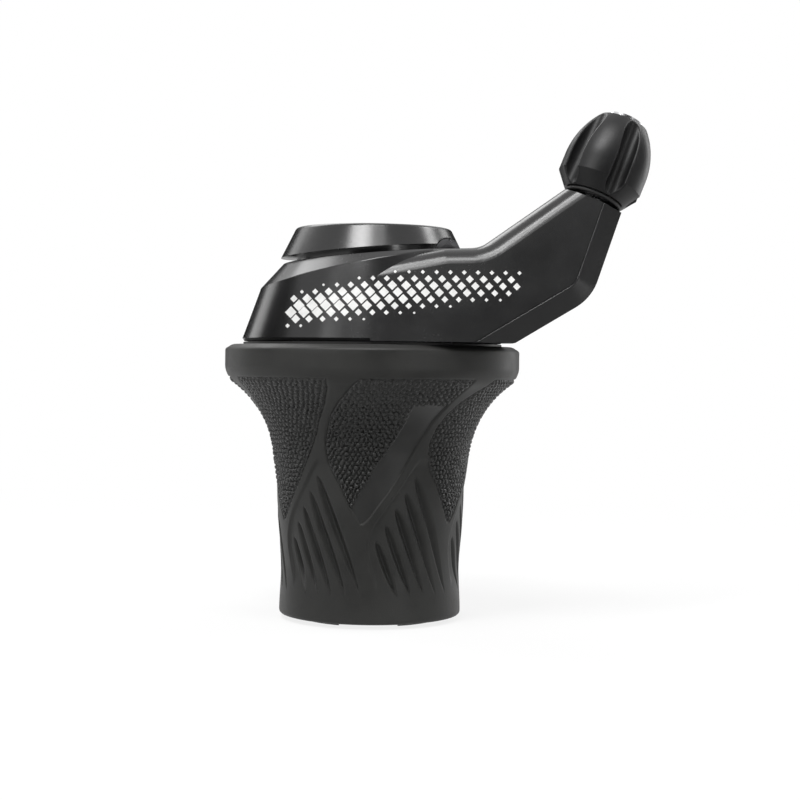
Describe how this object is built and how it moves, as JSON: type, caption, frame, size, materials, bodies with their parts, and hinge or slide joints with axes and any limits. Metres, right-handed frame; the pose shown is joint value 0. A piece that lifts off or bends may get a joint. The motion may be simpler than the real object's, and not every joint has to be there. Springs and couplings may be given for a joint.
{
  "type": "twist grip shifter",
  "caption": "Right-hand twist grip gear shifter for a round handlebar: ribbed rubber grip, gloss drum housing, split clamp collar and a horn with a barrel adjuster.",
  "frame": {"origin": "on the handlebar axis at the outboard end of the fixed tube", "axes": "+Z along the handlebar axis from the outboard end towards the inboard clamp collar, +X towards the horn with the adjuster, -Y towards the viewer of the picture"},
  "size_m": [0.0736, 0.0522, 0.089],
  "materials": {
    "grip_rubber": "matte, grained",
    "gloss_black": "gloss",
    "satin_black": "satin",
    "black_plastic": "matte",
    "pale_plastic": "matte",
    "seal_rubber": "matte",
    "steel": "plain",
    "silver": "turned",
    "brass": "plain"
  },
  "bodies": {
    "fixed": {"inner_tube": "black_plastic", "housing": "gloss_black", "housing_screws": "steel", "clamp_collar": "gloss_black", "collar_screw": "steel", "clamp_bolt": "steel", "clamp_nut": "steel", "detent_spring": "steel", "retaining_ring": "steel", "thrust_washer": "pale_plastic", "adjuster_insert": "brass"},
    "twist": {"grip_sleeve": "grip_rubber", "grip_core": "black_plastic", "outboard_bush": "pale_plastic", "inboard_bush": "pale_plastic", "flange_washer": "seal_rubber", "cable_spool": "black_plastic", "index_ring": "steel"},
    "adjuster_carriage": {"cable_stop": "silver"},
    "adjuster": {"adjuster_knob": "satin_black", "adjuster_stem": "silver", "adjuster_o_ring": "seal_rubber"}
  },
  "joints": [
    {"name": "twist", "type": "hinge", "parent": "fixed", "child": "twist", "pos_m": [0, 0, 0], "axis": [0, 0, -1], "range_deg": [0, 124.62], "deforming": ["detent_spring"]},
    {"name": "adjuster_lift", "type": "slide", "parent": "fixed", "child": "adjuster_carriage", "axis": [0.3678, 0.1392, 0.9194], "range_m": [0, 0.004]},
    {"name": "adjuster_turn", "type": "hinge", "parent": "adjuster_carriage", "child": "adjuster", "pos_m": [0.0376, -0.0096, 0.0733], "axis": [0.3678, 0.1392, 0.9194], "range_deg": [0, 1801]}
  ],
  "couplings": [
    {"joint": "adjuster_turn", "follows": "adjuster_lift", "rad_per_m": 7854}
  ]
}
